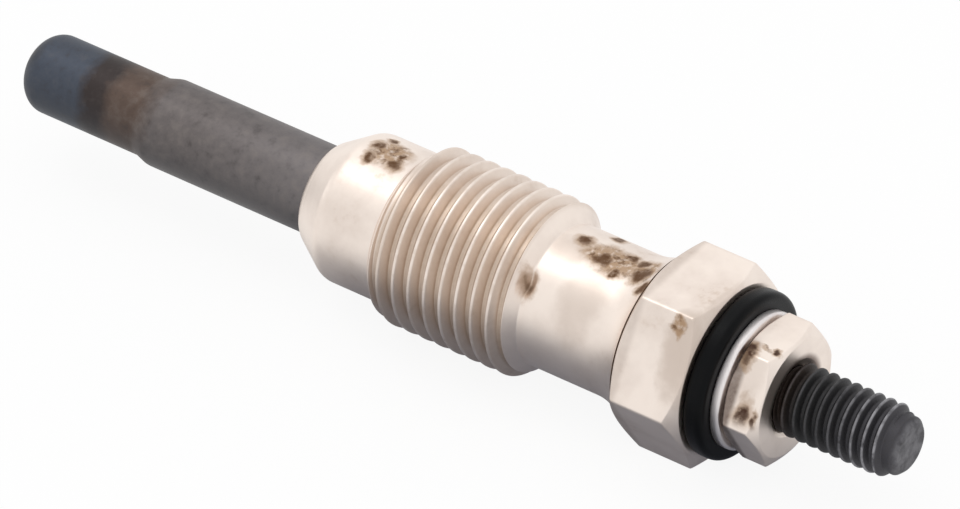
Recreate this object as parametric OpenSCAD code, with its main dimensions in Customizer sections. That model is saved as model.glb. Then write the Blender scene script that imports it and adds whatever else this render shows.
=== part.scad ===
// Diesel glow plug: a sheathed two-coil heater pressed into a screwed housing, with a threaded terminal.
// Millimetres. The plug lies on one flat of its hexagon and on its thread, axis along X,
// heater tip towards -X and terminal stud towards +X.
// Every piece is drawn upright along its own axis, measured from the heater tip, and then laid down.

/* [Heater sheath] */
// Outside diameter where the sheath leaves the housing
sheath_d = 5.0; // [4.4:0.1:5.4]
// Outside diameter of the drawn-down front run
sheath_tip_d = 4.5; // [3.8:0.1:5.0]
// Length of sheath in front of the housing
sheath_free = 19.8; // [14:0.1:30]
// Length of sheath gripped by the housing
sheath_grip = 13.0; // [10:0.5:16]
// Length of the drawn-down front run
sheath_tip_run = 8.2; // [5:0.1:11]
// Length of the taper between the two diameters
sheath_taper_run = 0.8; // [0.4:0.1:2]
// Wall thickness of the sheath
sheath_wall = 0.7; // [0.5:0.05:0.8]
// Thickness of the closed tip
tip_wall = 0.9; // [0.7:0.05:1.4]
// Height of the domed tip
dome_height = 1.6; // [1.0:0.1:2.2]

/* [Heater inside] */
// Wire diameter of the heating coil
heating_wire_d = 0.4; // [0.25:0.05:0.5]
// Wire diameter of the control coil
control_wire_d = 0.32; // [0.2:0.02:0.5]
// Turns of the heating coil
heating_turns = 8; // [5:1:10]
// Turns of the control coil
control_turns = 8; // [5:1:10]
// Rise per turn of the heating coil
heating_pitch = 0.75; // [0.65:0.05:1.1]
// Rise per turn of the control coil
control_pitch = 0.9; // [0.65:0.05:1.1]
// Insulating fill between coil and sheath
insulation = 0.45; // [0.3:0.05:0.55]
// Length of the rubber bung in the sheath's open end
seal_run = 2.0; // [1:0.1:4]

/* [Housing] */
// Small diameter of the conical seat
seat_d = 6.0; // [5.8:0.1:7.2]
// Included angle of the conical seat
seat_angle = 63; // [50:1:90]
// Step from the thread's crests down to the plain pilot in front of it
pilot_step = 0.75; // [0.6:0.05:1.1]
// Length of the plain pilot
pilot_run = 3.5; // [2:0.1:8]
// Major diameter of the body thread
thread_d = 10.0; // [9.5:0.1:12]
// Pitch of the body thread
thread_pitch = 1.0; // [0.75:0.05:1.25]
// Number of full thread crests on the body
thread_crests = 9; // [6:1:14]
// Step from the thread's crests down to the plain shank behind it
shank_step = 1.0; // [0.7:0.05:1.3]
// Length from the thread to the hexagon
shank_run = 6.95; // [5:0.05:14]
// Length of the flare that leads into the hexagon
flare_run = 2.2; // [1:0.1:4]
// Rise of the flare above the shank
flare_rise = 0.8; // [0.4:0.05:1.0]
// Width of the hexagon across its flats
hex_af = 10.0; // [10:0.5:14]
// Length of the hexagon
hex_run = 4.25; // [3.8:0.05:8]
// Chamfer angle at the hexagon's ends
hex_chamfer = 30; // [15:1:40]

/* [Terminal] */
// Diameter of the electrode rod
rod_d = 3.5; // [3.0:0.1:3.6]
// Diameter of the electrode inside the sheath
rod_front_d = 2.6; // [1.8:0.1:2.8]
// Thickness of the sealing ring's cord
cord_d = 1.4; // [1.0:0.1:1.6]
// Length of the bush's neck inside the housing
bush_neck_run = 1.6; // [0.8:0.1:2]
// Diameter of the bush's flange
bush_d = 9.4; // [8:0.1:10]
// Thickness of the bush's flange
bush_run = 1.2; // [0.8:0.05:2.5]
// Diameter of the washer
washer_d = 7.7; // [7:0.1:9]
// Thickness of the washer
washer_run = 0.55; // [0.3:0.05:1.2]
// Width of the nut across its flats
nut_af = 7.0; // [6.5:0.1:8]
// Height of the nut
nut_run = 2.2; // [1.8:0.05:4]
// Major diameter of the stud thread
stud_d = 4.0; // [3.8:0.1:4.4]
// Pitch of the stud thread
stud_pitch = 0.7; // [0.5:0.05:0.8]
// Number of thread crests on the free stud
stud_crests = 9; // [5:1:14]
// Length of the plain point at the stud's end
point_run = 0.8; // [0.5:0.05:2]

/* [Fits] */
// Room around the coil wire in the insulating fill
coil_room = 0.05; // [0.02:0.01:0.1]
// Air between the electrode rod and the housing
rod_air = 0.55; // [0.3:0.05:0.7]
// Room between the bush's neck and the housing
bush_room = 0.05; // [0.02:0.01:0.15]
// Room between the stud's crests and what slides over it
slide_room = 0.12; // [0.05:0.01:0.25]
// Room between the nut's hole and the stud's thread core
nut_room = 0.02; // [0.01:0.01:0.05]

/* [Hidden] */
$fn = 96;
hex_sides = 6;
half_turn = 180;
flat_turn = half_turn / hex_sides;
arc_steps = 10;
wire_sides = 6;
steps_per_turn = 14;
bend_steps = 6;
// Overshoot of cutting shapes past the faces they open
cut = 0.1;
// Shares of a metric thread's pitch: crest flat, root flat and depth
crest_share = 1 / 8;
root_share = 1 / 4;
depth_share = (1 - crest_share - root_share) / 2 / tan(30);

pilot_d = thread_d - 2 * pilot_step;
shank_d = thread_d - 2 * shank_step;
sheath_r = sheath_d / 2;
sheath_tip_r = min(sheath_tip_d, sheath_d) / 2;
sheath_bore_r = sheath_r - sheath_wall;
sheath_tip_bore_r = sheath_tip_r - sheath_wall;
tip_corner_r = 0.4;
taper_end = sheath_tip_run + sheath_taper_run;

// Straight welded end of a coil and the bend that leads from it into the helix
lead_run = 0.5;
bend_turn = 90;
bend_slope = 1.0;
function bend_rise(pitch) = (bend_slope + pitch / 2) / 2;
function coil_run(turns, pitch) = 2 * lead_run + 2 * bend_rise(pitch) + pitch * (turns - 2 * bend_turn / 360);
coil_r = sheath_tip_bore_r - insulation - heating_wire_d / 2;
coil_start = tip_wall;
coil_joint = coil_start + coil_run(heating_turns, heating_pitch);
coil_end = coil_joint + coil_run(control_turns, control_pitch);
channel_half = max(heating_wire_d, control_wire_d) / 2 + coil_room;
lead_hole_r = channel_half - coil_room / 2;

// Stations along the axis, from the heater tip
seat_start = sheath_free;
seat_end = seat_start + (pilot_d - seat_d) / 2 / tan(seat_angle / 2);
thread_start = seat_end + pilot_run;
thread_end = thread_start + thread_crests * thread_pitch;
hex_start = thread_end + shank_run;
hex_end = hex_start + hex_run;
sheath_end = seat_start + sheath_grip;
seal_start = sheath_end - seal_run;
counterbore_start = hex_end - bush_neck_run - cord_d;
flange_end = hex_end + bush_run;
washer_end = flange_end + washer_run;
nut_end = washer_end + nut_run;
point_start = nut_end + stud_crests * stud_pitch;
overall = point_start + point_run;

thread_r = thread_d / 2;
thread_core_r = thread_r - depth_share * thread_pitch;
stud_r = stud_d / 2;
stud_core_r = stud_r - depth_share * stud_pitch;
hex_r = hex_af / 2 / cos(flat_turn);
nut_r = nut_af / 2 / cos(flat_turn);
rod_r = rod_d / 2;
rod_front_r = rod_front_d / 2;
counterbore_r = rod_r + cord_d;
through_r = rod_r + rod_air;
rest_z = max(thread_r, hex_af / 2);
// Small edge breaks
edge = 0.15;
hex_face_r = hex_af / 2 - edge;
nut_face_r = nut_af / 2 - edge;
bush_round = 0.35;
point_r = stud_core_r;
point_break = 0.3;

plating = [0.83, 0.79, 0.75];
sheath_grey = [0.36, 0.34, 0.33];
stud_grey = [0.2, 0.2, 0.21];
wire_tone = [0.55, 0.5, 0.42];
fill_tone = [0.88, 0.87, 0.84];
rubber_black = [0.1, 0.1, 0.1];
bush_black = [0.05, 0.05, 0.06];

// Points on an arc, from one angle to another
function arc(cx, cy, r, from, to) =
    [for (i = [0 : arc_steps]) let (a = from + (to - from) * i / arc_steps) [cx + r * cos(a), cy + r * sin(a)]];

// Outline of a row of thread crests: core radius, flank, crest flat and flank again for each crest
function crests(start, pitch, count, core_r, crest_r) =
    [for (i = [0 : count - 1])
        let (mid = start + (i + 0.5) * pitch,
             foot = pitch * (1 - root_share) / 2,
             top = pitch * crest_share / 2)
        each [[core_r, mid - foot], [crest_r, mid - top], [crest_r, mid + top], [core_r, mid + foot]]];

// Lays a piece down from its upright drawing
module lay() {
    translate([-overall / 2, 0, rest_z])
        rotate([0, 90, 0])
            children();
}

// Ring between two radii and two stations
module ring(inner_r, outer_r, from, to) {
    rotate_extrude()
        polygon([[inner_r, from], [outer_r, from], [outer_r, to], [inner_r, to]]);
}

// Hexagon bar, one flat down, with its corners turned off to a cone at both ends
module hexagon(r, face_r, from, to, angle) {
    slope = (r - face_r) * tan(angle);
    intersection() {
        translate([0, 0, from])
            rotate([0, 0, flat_turn])
                cylinder(r = r, h = to - from, $fn = hex_sides);
        rotate_extrude()
            polygon([[0, from], [face_r, from], [r, from + slope], [r, to - slope], [face_r, to], [0, to]]);
    }
}

// Turned steel shell: conical seat, pilot, body thread, shank with flare, hexagon and stepped bore
module housing() {
    shank_r = shank_d / 2;
    flare_r = (pow(flare_run, 2) + pow(flare_rise, 2)) / (2 * flare_rise);
    flare_span = asin(flare_run / flare_r);
    outline = concat(
        [[0, seat_start], [seat_d / 2 - edge, seat_start], [seat_d / 2, seat_start + edge],
         [pilot_d / 2, seat_end], [pilot_d / 2, thread_start]],
        crests(thread_start, thread_pitch, thread_crests, thread_core_r, thread_r),
        [[thread_core_r, thread_end], [shank_r, thread_end + edge]],
        arc(shank_r + flare_r, hex_start - flare_run, flare_r, half_turn, half_turn - flare_span),
        [[shank_r + flare_rise, hex_end - edge], [0, hex_end - edge]]);
    color(plating)
        lay()
            difference() {
                union() {
                    rotate_extrude()
                        polygon(outline);
                    hexagon(hex_r, hex_face_r, hex_start, hex_end, hex_chamfer);
                }
                ring(0, sheath_r, seat_start - cut, sheath_end);
                ring(0, through_r, seat_start, hex_end);
                ring(0, counterbore_r, counterbore_start, hex_end + cut);
            }
}

// Outline of the sheath's inside, from the centre of the closed tip to the station given
function inside_outline(to) = concat(
    [[0, tip_wall]],
    arc(sheath_tip_bore_r - tip_corner_r, tip_wall + tip_corner_r, tip_corner_r, -90, 0),
    [[sheath_tip_bore_r, sheath_tip_run], [sheath_bore_r, taper_end], [sheath_bore_r, to], [0, to]]);

// Closed heat-resisting tube, drawn down towards its domed tip
module sheath_tube() {
    dome = [for (i = [0 : arc_steps])
        let (a = 90 * i / arc_steps)
        [sheath_tip_r * sin(a), dome_height * (1 - cos(a))]];
    color(sheath_grey)
        lay()
            difference() {
                rotate_extrude()
                    polygon(concat(dome, [[sheath_tip_r, sheath_tip_run], [sheath_r, taper_end],
                                          [sheath_r, sheath_end], [0, sheath_end]]));
                rotate_extrude()
                    polygon(inside_outline(sheath_end + cut));
            }
}

// Place along a coil's wire as [turn angle, height, angle gained, height gained]: lead, bend, helix, bend, lead
function bend_in(v, pitch) =
    [bend_turn * v * v, bend_slope * v - (bend_slope - pitch / 2) * v * v / 2,
     2 * bend_turn * v, bend_slope - (bend_slope - pitch / 2) * v];
function wire_places(turns, pitch) =
    let (full = 360 * turns,
         run = coil_run(turns, pitch),
         helix_steps = round((full - 2 * bend_turn) / 360 * steps_per_turn),
         rise = lead_run + bend_rise(pitch))
    concat(
        [[0, 0, 0, bend_slope]],
        [for (i = [0 : bend_steps - 1])
            let (b = bend_in(i / bend_steps, pitch))
            [b[0], lead_run + b[1], b[2], b[3]]],
        [for (i = [0 : helix_steps])
            let (a = (full - 2 * bend_turn) * i / helix_steps)
            [bend_turn + a, rise + pitch * a / 360, 360, pitch]],
        [for (i = [bend_steps - 1 : -1 : 0])
            let (b = bend_in(i / bend_steps, pitch))
            [full - b[0], run - lead_run - b[1], b[2], b[3]]],
        [[full, run, 0, bend_slope]]);

// One ring of wire corners, square to the wire's own direction
function wire_ring(place, start, wire_r) =
    let (out = [cos(place[0]), sin(place[0]), 0],
         side = [-sin(place[0]), cos(place[0]), 0],
         along = place[2] * PI / 180 * coil_r,
         length = sqrt(along * along + place[3] * place[3]),
         up = [side[0] * -place[3] / length, side[1] * -place[3] / length, along / length],
         centre = [coil_r * out[0], coil_r * out[1], start + place[1]])
    [for (k = [0 : wire_sides - 1])
        let (a = 360 * k / wire_sides)
        centre + wire_r * (cos(a) * out + sin(a) * up)];

// Wire wound to a helix, with a straight end at each side
module coil(start, turns, pitch, wire_r) {
    places = wire_places(turns, pitch);
    last = len(places) - 1;
    corners = [for (p = places) each wire_ring(p, start, wire_r)];
    sides = [for (i = [0 : last - 1], k = [0 : wire_sides - 1])
        let (n = (k + 1) % wire_sides,
             low = i * wire_sides,
             high = low + wire_sides)
        each [[low + k, high + k, high + n], [low + k, high + n, low + n]]];
    polyhedron(corners, concat(
        sides,
        [[for (k = [0 : wire_sides - 1]) k]],
        [[for (k = [wire_sides - 1 : -1 : 0]) last * wire_sides + k]]));
}

// Heating coil in the front run, its front end on the closed tip
module heating_coil() {
    color(wire_tone)
        lay()
            coil(coil_start, heating_turns, heating_pitch, heating_wire_d / 2);
}

// Control coil behind it, its rear end on the electrode
module control_coil() {
    color(wire_tone)
        lay()
            coil(coil_joint, control_turns, control_pitch, control_wire_d / 2);
}

// Compacted powder: fills the sheath around the coils' ring-shaped channel and the electrode's front
module magnesia_fill() {
    color(fill_tone)
        lay()
            difference() {
                rotate_extrude()
                    polygon(inside_outline(seal_start));
                ring(0, rod_front_r, coil_end, seal_start + cut);
                ring(coil_r - channel_half, coil_r + channel_half, coil_start + lead_run, coil_end - lead_run);
                translate([coil_r, 0, coil_start - cut])
                    cylinder(r = lead_hole_r, h = lead_run + 2 * cut);
                translate([coil_r, 0, coil_end - lead_run - cut])
                    cylinder(r = lead_hole_r, h = lead_run + 2 * cut);
            }
}

// Rubber bung between the electrode and the sheath's open end
module sheath_seal() {
    color(rubber_black)
        lay()
            ring(rod_front_r, sheath_bore_r, seal_start, sheath_end);
}

// Steel rod from the control coil to the terminal: slim front, rod, thread core under the nut and free threaded end
module centre_electrode() {
    color(stud_grey)
        lay()
            rotate_extrude()
                polygon(concat(
                    [[0, coil_end], [rod_front_r, coil_end], [rod_front_r, sheath_end],
                     [rod_r, sheath_end + rod_r - rod_front_r], [rod_r, flange_end],
                     [stud_core_r, flange_end]],
                    crests(nut_end, stud_pitch, stud_crests, stud_core_r, stud_r),
                    [[point_r, overall - point_break], [point_r - point_break, overall], [0, overall]]));
}

// Round sealing ring between electrode and housing
module o_ring() {
    color(rubber_black)
        lay()
            translate([0, 0, counterbore_start + cord_d / 2])
                rotate_extrude()
                    translate([rod_r + cord_d / 2, 0])
                        circle(d = cord_d);
}

// Flanged bush: neck in the housing, rounded flange on the hexagon's rear face
module insulating_bush() {
    hole_r = stud_r + slide_room;
    neck_r = counterbore_r - bush_room;
    flange_r = bush_d / 2;
    color(bush_black)
        lay()
            rotate_extrude()
                polygon(concat(
                    [[hole_r, hex_end - bush_neck_run], [neck_r, hex_end - bush_neck_run], [neck_r, hex_end]],
                    arc(flange_r - bush_round, hex_end + bush_round, bush_round, -90, 0),
                    arc(flange_r - bush_round, flange_end - bush_round, bush_round, 0, 90),
                    [[hole_r, flange_end]]));
}

// Thin plain washer with broken edges
module plain_washer() {
    hole_r = stud_r + slide_room;
    rim_r = washer_d / 2;
    rim_break = washer_run / 5;
    color(plating)
        lay()
            rotate_extrude()
                polygon([[hole_r, flange_end], [rim_r - rim_break, flange_end], [rim_r, flange_end + rim_break],
                         [rim_r, washer_end - rim_break], [rim_r - rim_break, washer_end], [hole_r, washer_end]]);
}

// Thin hexagon nut, chamfered on both faces
module terminal_nut() {
    color(plating)
        lay()
            difference() {
                hexagon(nut_r, nut_face_r, washer_end, nut_end, hex_chamfer);
                ring(0, stud_core_r + nut_room, washer_end - cut, nut_end + cut);
            }
}

housing();
sheath_tube();
heating_coil();
control_coil();
magnesia_fill();
sheath_seal();
centre_electrode();
o_ring();
insulating_bush();
plain_washer();
terminal_nut();
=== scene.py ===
import logging
import math
from dataclasses import dataclass, replace
from enum import Enum
from functools import reduce
from operator import or_
from typing import Any, Callable, Iterable, Mapping, Optional, Sequence, Union

import bpy
import numpy as np
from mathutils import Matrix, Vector


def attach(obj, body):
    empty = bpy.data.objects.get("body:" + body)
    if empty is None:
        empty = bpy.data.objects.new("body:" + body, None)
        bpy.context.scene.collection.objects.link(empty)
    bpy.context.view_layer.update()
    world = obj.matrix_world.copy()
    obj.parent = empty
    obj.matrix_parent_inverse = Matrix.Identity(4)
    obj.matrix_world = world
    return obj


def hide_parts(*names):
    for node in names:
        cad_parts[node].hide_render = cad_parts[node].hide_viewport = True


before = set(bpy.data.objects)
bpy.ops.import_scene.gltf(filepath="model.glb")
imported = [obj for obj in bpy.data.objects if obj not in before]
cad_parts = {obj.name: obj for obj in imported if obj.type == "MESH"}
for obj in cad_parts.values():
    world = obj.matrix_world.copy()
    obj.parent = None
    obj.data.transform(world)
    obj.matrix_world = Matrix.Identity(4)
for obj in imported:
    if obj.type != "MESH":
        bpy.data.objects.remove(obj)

LOG = logging.getLogger("glow_plug")
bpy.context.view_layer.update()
MM = 0.001
ROUND_COLUMNS = 144
Triple = tuple[float, float, float]
Spread = Union[float, np.ndarray]
Value = Union["Signal", float]
Tint = Union["Signal", Triple]
Piece = bpy.types.Object
Material = bpy.types.Material


class Slot(Enum):
    """Material slots of the record, one for each kind of finish that the meshes have."""

    PLATED_STEEL = "plated_steel"
    SHEATH_ALLOY = "sheath_alloy"
    RESISTANCE_WIRE = "resistance_wire"
    DARK_STEEL = "dark_steel"
    BLACK_PLASTIC = "black_plastic"


class Relief(Enum):
    """Fine relief of a plain finish."""

    GRAIN = "grain"
    LINES = "lines"
    SPECKS = "specks"


class Plan:
    """Sizes that the sub-assemblies share; the stations follow from the runs along the axis."""

    sheath_out: float = 2.5
    seat_out: float = 3.0
    seat_angle: float = 63.0
    pilot_out: float = 4.25
    hex_across: float = 10.0
    sheath_free: float = 19.8
    sheath_grip: float = 13.0
    pilot_run: float = 3.5
    thread_run: float = 9.0
    shank_run: float = 6.95
    hex_run: float = 4.25
    neck_run: float = 1.6
    seal_cord: float = 1.4
    bush_run: float = 1.2
    washer_run: float = 0.55
    nut_run: float = 2.2
    stud_run: float = 6.3
    point_run: float = 0.8

    sheath_end: float = sheath_free + sheath_grip
    seat_end: float = sheath_free + (pilot_out - seat_out) / math.tan(math.radians(seat_angle / 2))
    thread_start: float = seat_end + pilot_run
    thread_end: float = thread_start + thread_run
    hex_start: float = thread_end + shank_run
    hex_end: float = hex_start + hex_run
    neck_start: float = hex_end - neck_run
    counterbore_start: float = neck_start - seal_cord
    flange_end: float = hex_end + bush_run
    washer_end: float = flange_end + washer_run
    nut_end: float = washer_end + nut_run
    point_start: float = nut_end + stud_run
    end: float = point_start + point_run
    half_length: float = end / 2
    axis_height: float = hex_across / 2


def tone(red: int, green: int, blue: int) -> Triple:
    """Linear colour of a display colour whose channels run from 0 to 255."""
    shares = (channel / 255 for channel in (red, green, blue))
    return tuple(s / 12.92 if s <= 0.04045 else ((s + 0.055) / 1.055) ** 2.4 for s in shares)


def place(station: Spread, out: Spread, angle: Spread) -> np.ndarray:
    """Points of the row frame, in metres; the angle is 0 sideways and a quarter turn up."""
    along, out, angle = np.broadcast_arrays(station - Plan.half_length, out, angle)
    return MM * np.stack([along, out * np.cos(angle), Plan.axis_height + out * np.sin(angle)], axis=-1)


# Finishes


def arithmetic(operation: str, reflected: bool = False) -> Callable[["Signal", Value], "Signal"]:
    """Makes an operator of signals that adds one Math node.

    Args:
        operation: What the node does.
        reflected: True where the other value comes first.

    Returns:
        The operator.
    """

    def operate(self: "Signal", other: Value) -> "Signal":
        """Adds the node."""
        first, second = (other, self) if reflected else (self, other)
        return self.bench.node("ShaderNodeMath", {"operation": operation}, {0: first, 1: second})

    return operate


class Signal:
    """Shader value that takes part in Python arithmetic, where | is the larger of two values."""

    __add__, __radd__ = arithmetic("ADD"), arithmetic("ADD", reflected=True)
    __sub__, __rsub__ = arithmetic("SUBTRACT"), arithmetic("SUBTRACT", reflected=True)
    __mul__, __rmul__ = arithmetic("MULTIPLY"), arithmetic("MULTIPLY", reflected=True)
    __truediv__, __rtruediv__ = arithmetic("DIVIDE"), arithmetic("DIVIDE", reflected=True)
    __pow__, __rpow__ = arithmetic("POWER"), arithmetic("POWER", reflected=True)
    __or__, __ror__ = arithmetic("MAXIMUM"), arithmetic("MAXIMUM", reflected=True)

    def __init__(self, bench: "NodeBench", socket: Optional[bpy.types.NodeSocket]) -> None:
        """Wraps one output socket of a node tree."""
        self.bench = bench
        self.socket = socket

    def __abs__(self) -> "Signal":
        """Size of self without its sign."""
        return self.bench.node("ShaderNodeMath", {"operation": "ABSOLUTE"}, {0: self})

    def rise(self, low: float, high: float) -> "Signal":
        """Goes smoothly from 0 at low to 1 at high, where low may lie above high."""
        ends = {1: low, 2: high, 3: 0.0, 4: 1.0} if low <= high else {1: high, 2: low, 3: 1.0, 4: 0.0}
        return self.bench.node("ShaderNodeMapRange", {"interpolation_type": "SMOOTHSTEP"}, {0: self, **ends})


def largest(signals: Iterable[Signal]) -> Signal:
    """The largest of several signals."""
    return reduce(or_, signals)


class NodeBench:
    """Node tree of a finish or of the surroundings."""

    def __init__(self, owner: Union[Material, bpy.types.World]) -> None:
        """Empties a node tree.

        Args:
            owner: What the tree belongs to.
        """
        owner.use_nodes = True
        self.owner = owner
        self.tree = owner.node_tree
        self.tree.nodes.clear()

    def node(
        self,
        kind: str,
        settings: Optional[Mapping[str, Any]] = None,
        inputs: Optional[Mapping[Union[int, str], Any]] = None,
        output: Union[int, str] = 0,
    ) -> Signal:
        """Adds one node.

        Args:
            kind: Type of the node.
            settings: Its own settings, set first; "stops" are a ramp's (place, colour) pairs.
            inputs: Values or signals of its sockets, by name or number.
            output: The socket that is wanted.

        Returns:
            That output as a signal.
        """
        node = self.tree.nodes.new(kind)
        for key, value in (settings or {}).items():
            if key == "stops":
                self._set_stops(node.color_ramp, value)
            else:
                setattr(node, key, value)
        for key, value in (inputs or {}).items():
            socket = node.inputs[key]
            if isinstance(value, Signal):
                self.tree.links.new(value.socket, socket)
            elif socket.type == "RGBA":
                socket.default_value = (*value, 1.0)
            else:
                socket.default_value = value
        return Signal(self, node.outputs[output] if node.outputs else None)

    def split(self, vector: Signal) -> list[Signal]:
        """Parts of a vector along X, Y and Z."""
        parts = self.node("ShaderNodeSeparateXYZ", inputs={0: vector}).socket.node.outputs
        return [Signal(self, part) for part in parts]

    def blend(self, share: Value, first: Tint, second: Tint) -> Signal:
        """Mixes two colours, the first at a share of 0 and the second at 1."""
        return self.node("ShaderNodeMix", {"data_type": "RGBA"}, {0: share, 6: first, 7: second}, output=2)

    def layer(self, colour: Tint, *coats: tuple[Value, Triple]) -> Tint:
        """Lays coats over a colour, one after the other.

        Args:
            colour: The colour underneath.
            *coats: Share and colour of each coat.

        Returns:
            The colour with its coats.
        """
        for share, tint in coats:
            colour = self.blend(share, colour, tint)
        return colour

    def sight(self) -> tuple[Signal, Signal]:
        """1 or 0 for rays that show the surroundings to the eye.

        Returns:
            All such rays, straight, by gloss or through glass, and those by gloss alone.
        """
        rays = self.node("ShaderNodeLightPath").socket.node.outputs
        kinds = ("Camera", "Glossy", "Transmission")
        straight, gloss, glass = (Signal(self, rays[f"Is {kind} Ray"]) for kind in kinds)
        return straight | gloss | glass, gloss

    @staticmethod
    def _set_stops(ramp: bpy.types.ColorRamp, stops: Sequence[tuple[float, Triple]]) -> None:
        """Gives a ramp its stops.

        Args:
            ramp: The ramp, with its two first stops.
            stops: Place and colour of each stop, in order.
        """
        while len(ramp.elements) < len(stops):
            ramp.elements.new(1.0)
        for element, (position, colour) in zip(ramp.elements, stops):
            element.position = position
            element.color = (*colour, 1.0)


class Recipe(NodeBench):
    """Node tree of one finish, with the plug's own coordinates in millimetres."""

    def __init__(self, name: str) -> None:
        """Starts a material.

        Args:
            name: Name of the material.
        """
        super().__init__(bpy.data.materials.new(name))
        metres = self.node("ShaderNodeTexCoord", output="Object")
        self.place = self.node("ShaderNodeVectorMath", {"operation": "SCALE"}, {0: metres, "Scale": 1 / MM})
        along, self.across, height = self.split(self.place)
        self.station = along + Plan.half_length
        self.above = height - Plan.axis_height

    def radius(self) -> Signal:
        """Distance from the plug's axis."""
        return (self.across * self.across + self.above * self.above) ** 0.5

    def grain(
        self,
        scale: float,
        detail: float = 3.0,
        rough: float = 0.55,
        stretch: Triple = (1, 1, 1),
        output: str = "Fac",
    ) -> Signal:
        """Cloudy noise from 0 to 1.

        Args:
            scale: Clouds per millimetre.
            detail: Octaves.
            rough: Share that each octave keeps.
            stretch: Factor on each axis.
            output: "Fac" for one value, "Color" for three that differ.

        Returns:
            The noise.
        """
        spot = self.node("ShaderNodeVectorMath", {"operation": "MULTIPLY"}, {0: self.place, 1: stretch})
        inputs = {"Vector": spot, "Scale": scale, "Detail": detail, "Roughness": rough}
        return self.node("ShaderNodeTexNoise", {"noise_dimensions": "3D"}, inputs, output)

    def lathe_lines(self, per_mm: float) -> Signal:
        """Fine turning marks round the axis, 0 to 1."""
        inputs = {"W": self.station, "Scale": per_mm, "Detail": 2.0}
        return self.node("ShaderNodeTexNoise", {"noise_dimensions": "1D"}, inputs)

    def specks(self, scale: float) -> Signal:
        """Distance to the nearest scattered point, in cells."""
        return self.node("ShaderNodeTexVoronoi", {"feature": "F1"}, {"Vector": self.place, "Scale": scale})

    def bump(self, height: Signal, depth: float) -> Signal:
        """Normal of a height from 0 to 1, with depth in millimetres between the two."""
        return self.node("ShaderNodeBump", inputs={"Strength": 1.0, "Distance": depth * MM, "Height": height})

    def close(self, **sockets: Any) -> Material:
        """Ends the recipe in one shader.

        Args:
            **sockets: The shader's sockets, with _ for a space in their names.

        Returns:
            The material.
        """
        inputs = {name.replace("_", " "): value for name, value in sockets.items()}
        shader = self.node("ShaderNodeBsdfPrincipled", inputs=inputs)
        self.node("ShaderNodeOutputMaterial", inputs={"Surface": shader})
        return self.owner


@dataclass(frozen=True)
class Spot:
    """Dark speck on the upper side: tarnish, but painted shade at the thread's run-out notch; a lower peak
    makes it paler.
    """

    station: float
    across: float
    size: float
    peak: float = 1.0

    def nearness(self, along: Signal, side: Signal) -> Signal:
        """The peak in the middle of the speck, and less outwards."""
        run, width = along - self.station, side - self.across
        return self.peak - (run * run + width * width) / self.size**2


@dataclass(frozen=True)
class Stain:
    """Soft bloom of tarnish on the upper side."""

    station: float
    across: float
    half_run: float
    half_width: float
    share: float = 1.0

    def mask(self, along: Signal, side: Signal) -> Signal:
        """The bloom's share in its middle, and less outwards."""
        run, width = (along - self.station) / self.half_run, (side - self.across) / self.half_width
        return (run * run + width * width).rise(1.3, 0.2) * self.share


@dataclass(frozen=True)
class Tarnish:
    """Marks on the upper side of a plated piece, on surfaces that lie far enough out."""

    hazes: tuple[Stain, ...]
    stains: tuple[Stain, ...]
    spots: tuple[Spot, ...]
    floor_out: float = 3.3
    floor_fade: float = 0.12
    raggedness: float = 0.8

    def masks(self, recipe: Recipe, fine: Signal) -> tuple[Signal, Signal, Signal]:
        """Shares of the three kinds of mark.

        Args:
            recipe: The finish that they are on.
            fine: Its fine grain.

        Returns:
            Shares of haze, of pale bloom and of dark speck, 0 to 1.
        """
        outside = recipe.radius().rise(self.floor_out, self.floor_out + self.floor_fade)
        upper = recipe.above.rise(0.0, 0.8) * outside
        drift = recipe.split(recipe.grain(1.3, output="Color"))
        along = recipe.station + (drift[0] - 0.5) * self.raggedness
        side = recipe.across + (drift[1] - 0.5) * self.raggedness
        near = largest(spot.nearness(along, side) for spot in self.spots)
        bloom = largest(stain.mask(along, side) for stain in self.stains) * fine.rise(0.15, 0.55)
        blotch = recipe.grain(1.9, 4.0, 0.62)
        speck = near.rise(-0.6, 0.75) * blotch.rise(0.22, 0.52) | bloom * blotch.rise(0.5, 0.66) * 0.75
        haze = largest(stain.mask(along, side) for stain in self.hazes)
        return haze * upper, (bloom | near.rise(-2.6, 0.3) * 0.8) * upper, speck * upper


@dataclass(frozen=True)
class Roots:
    """Run of thread that has gone brown, most in its roots; on its far side painted light makes it paler."""

    start: float
    end: float
    core: float
    crest: float
    flank_share: float = 0.52
    patch_share: float = 0.36
    start_share: float = 0.45
    root_share: float = 0.48
    far_side_painted_light: float = 0.42

    def mask(self, recipe: Recipe) -> Signal:
        """How brown the thread is: least on its crests, part brown on the flanks, most in the roots, and less
        on the far side as painted light.

        Args:
            recipe: The finish that it is on.

        Returns:
            The share, 0 to 1.
        """
        out, station = recipe.radius(), recipe.station
        flank = out.rise(self.crest, self.crest - 0.1) * self.flank_share
        patches = recipe.grain(1.1, 3.0, 0.6).rise(0.4, 0.62) * self.patch_share
        dulled = station.rise(self.start + 2.2, self.start + 0.6) * self.start_share
        root = out.rise(self.core + 0.16, self.core + 0.02) * self.root_share
        # painted light: the far side is kept paler, as if washed by light from above
        painted_light_factor = 1 - recipe.across.rise(-1.5, 0.3) * self.far_side_painted_light
        begun = station.rise(self.start - 0.1, self.start + 0.2)
        ended = station.rise(self.end + 0.1, self.end - 0.15)
        return ((flank | patches | dulled) + root) * painted_light_factor * begun * ended


@dataclass(frozen=True)
class DirtAndShadeLine:
    """Line round the axis that is darkened: some lines are dirty joints, some are painted shade."""

    station: float
    full: float
    reach: float
    share: float = 1.0
    side_limit: float = 9.0

    def mask(self, recipe: Recipe) -> Signal:
        """Nearness to the line on the side where it is darkened."""
        near = abs(recipe.station - self.station).rise(self.reach, self.full)
        return near * recipe.across.rise(self.side_limit, self.side_limit - 1.0) * self.share


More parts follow.
